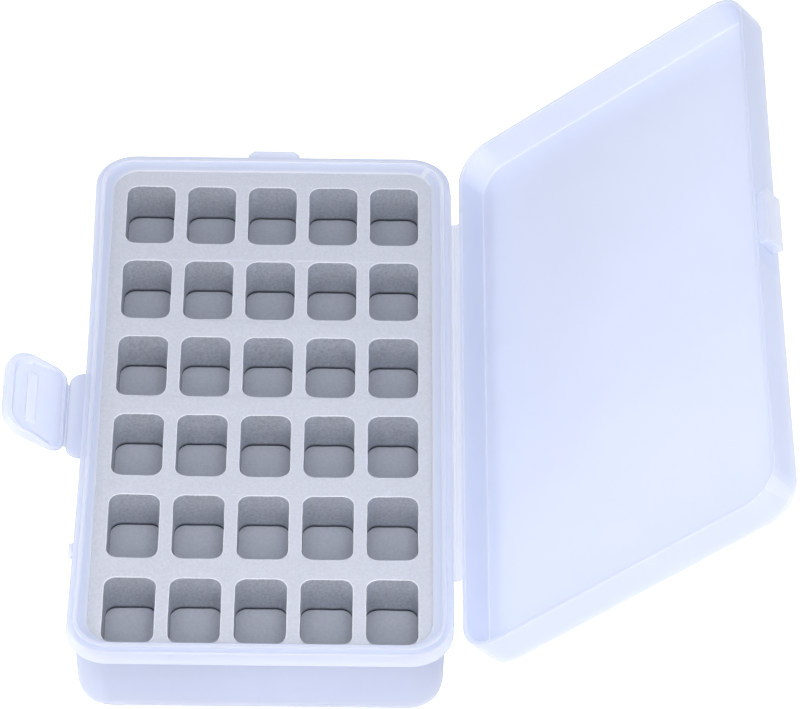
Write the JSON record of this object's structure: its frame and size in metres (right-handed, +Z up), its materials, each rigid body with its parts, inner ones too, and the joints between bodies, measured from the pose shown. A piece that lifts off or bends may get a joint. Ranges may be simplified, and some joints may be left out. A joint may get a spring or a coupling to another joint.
{
  "type": "bobbin storage box",
  "caption": "Slim hinged plastic case with a snap latch and a grey foam insert die-cut with a grid of pockets for sewing bobbins.",
  "frame": {"origin": "centre of the tray's flat underside", "axes": "+Z up from the surface the box stands on, +X towards the hinge and the open lid, +Y along the box's long side, away from the viewer in the picture"},
  "size_m": [0.205, 0.1848, 0.0948],
  "materials": {
    "clear_polypropylene": "satin",
    "hinge_polypropylene": "satin",
    "lid_polypropylene": "satin",
    "latch_polypropylene": "satin",
    "grey_foam_block": "matte",
    "grey_foam_floor": "matte"
  },
  "bodies": {
    "base": {"base_tray": "clear_polypropylene", "foam_block": "grey_foam_block", "foam_floor": "grey_foam_floor"},
    "strap": {"hinge_strap": "hinge_polypropylene"},
    "cover": {"lid": "lid_polypropylene"},
    "latch": {"latch_flap": "latch_polypropylene"}
  },
  "joints": [
    {"name": "strap_fold", "type": "hinge", "parent": "base", "child": "strap", "pos_m": [0.0506, 0, 0.0272], "axis": [0, 1, 0], "range_deg": [-69.3, 20.7]},
    {"name": "lid_fold", "type": "hinge", "parent": "strap", "child": "cover", "pos_m": [0.05172, 0, 0.02762], "axis": [0, 1, 0], "range_deg": [-69.3, 20.7]},
    {"name": "latch_fold", "type": "hinge", "parent": "base", "child": "latch", "pos_m": [-0.0542, 0, 0.018], "axis": [0, 1, 0], "range_deg": [-90, 60]}
  ]
}
